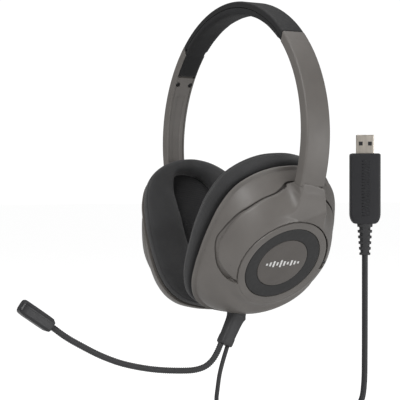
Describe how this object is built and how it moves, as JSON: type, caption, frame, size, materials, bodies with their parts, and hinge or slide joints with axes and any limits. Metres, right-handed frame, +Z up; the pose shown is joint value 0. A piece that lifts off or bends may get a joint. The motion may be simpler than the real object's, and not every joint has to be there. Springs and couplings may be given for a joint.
{
  "type": "office headset",
  "caption": "Over-ear headset with a padded sprung headband, slide-out yokes, tilting oval ear cups, a flexible boom microphone on one cup and a lead with a USB-A plug.",
  "frame": {"origin": "on the underside of the crown pad, under the middle of the headband, where the headset hangs on a hook", "axes": "+Z up along the headband's middle; +X to the wearer's left, the side with the microphone; the wearer looks along -Y"},
  "size_m": [0.1674, 0.2784, 0.2837],
  "materials": {
    "cover": "satin black",
    "pad": "matt woven black",
    "arm": "fine satin taupe grey",
    "yoke": "fine satin taupe grey",
    "shell": "fine satin taupe grey",
    "disc": "satin taupe grey",
    "ring": "matt black",
    "steel": "rolled",
    "inner": "matt black",
    "film": "clear film",
    "rubber": "matt black",
    "cushion": "matt knitted black",
    "screen": "acoustic cloth",
    "plug_body": "matt black",
    "plug_metal": "plated, warm",
    "board": "solder resist"
  },
  "bodies": {
    "headband": {"crown_cover": "cover", "spring_band": "steel", "crown_pad": "pad"},
    "left_arm": {"left_arm": "arm", "left_arm_plate": "arm", "left_spring_end": "steel", "left_arm_screw_front": "steel", "left_arm_screw_rear": "steel"},
    "left_yoke": {"left_yoke": "yoke", "left_slider": "steel", "left_pivot_pin_front": "steel", "left_pivot_pin_rear": "steel"},
    "left_cup": {"left_cup_shell": "shell", "left_cup_baffle": "inner", "left_driver_frame": "inner", "left_driver_magnet": "steel", "left_driver_diaphragm": "film", "left_cushion_ring": "inner", "left_acoustic_screen": "screen", "left_ear_cushion": "cushion", "left_badge_ring": "ring", "left_badge_disc": "disc", "boom_boot": "rubber", "gooseneck_root": "rubber", "cable": "rubber", "usb_strain_relief": "rubber", "usb_body_front": "plug_body", "usb_body_back": "plug_body", "usb_shell": "plug_metal", "usb_tongue": "plug_body", "usb_board": "board"},
    "right_arm": {"right_arm": "arm", "right_arm_plate": "arm", "right_spring_end": "steel", "right_arm_screw_front": "steel", "right_arm_screw_rear": "steel"},
    "right_yoke": {"right_yoke": "yoke", "right_slider": "steel", "right_pivot_pin_front": "steel", "right_pivot_pin_rear": "steel"},
    "right_cup": {"right_cup_shell": "shell", "right_cup_baffle": "inner", "right_driver_frame": "inner", "right_driver_magnet": "steel", "right_driver_diaphragm": "film", "right_cushion_ring": "inner", "right_acoustic_screen": "screen", "right_ear_cushion": "cushion", "right_badge_ring": "ring", "right_badge_disc": "disc"},
    "boom_middle": {"gooseneck_middle": "rubber"},
    "boom_tip": {"gooseneck_tip": "rubber", "mic_housing_upper": "plug_body", "mic_housing_lower": "plug_body", "mic_capsule": "steel"}
  },
  "joints": [
    {"name": "left_flex", "type": "hinge", "parent": "headband", "child": "left_arm", "pos_m": [0.05271, -0.00047, -0.01716], "axis": [0, -1, 0], "range_deg": [0, 14]},
    {"name": "right_flex", "type": "hinge", "parent": "headband", "child": "right_arm", "pos_m": [-0.05271, -0.00047, -0.01716], "axis": [0, 1, 0], "range_deg": [0, 14]},
    {"name": "left_slide", "type": "slide", "parent": "left_arm", "child": "left_yoke", "axis": [-0.1773, -0.0206, -0.9839], "range_m": [0, 0.013]},
    {"name": "right_slide", "type": "slide", "parent": "right_arm", "child": "right_yoke", "axis": [0.1773, -0.0206, -0.9839], "range_m": [0, 0.013]},
    {"name": "left_tilt", "type": "hinge", "parent": "left_yoke", "child": "left_cup", "pos_m": [0.05018, -0.00844, -0.15515], "axis": [-0.0842, -0.9964, 0], "range_deg": [0, 12]},
    {"name": "right_tilt", "type": "hinge", "parent": "right_yoke", "child": "right_cup", "pos_m": [-0.05018, -0.00844, -0.15515], "axis": [-0.0842, 0.9964, 0], "range_deg": [0, 12]},
    {"name": "boom_bend", "type": "hinge", "parent": "left_cup", "child": "boom_middle", "pos_m": [0.01544, -0.06109, -0.22076], "axis": [0.9945, -0.1045, 0], "range_deg": [-25, 20]},
    {"name": "mic_bend", "type": "hinge", "parent": "boom_middle", "child": "boom_tip", "pos_m": [0.01117, -0.10152, -0.21226], "axis": [0.9945, -0.1045, 0], "range_deg": [-30, 25]}
  ],
  "couplings": [
    {"joint": "right_flex", "follows": "left_flex", "ratio": 1}
  ]
}
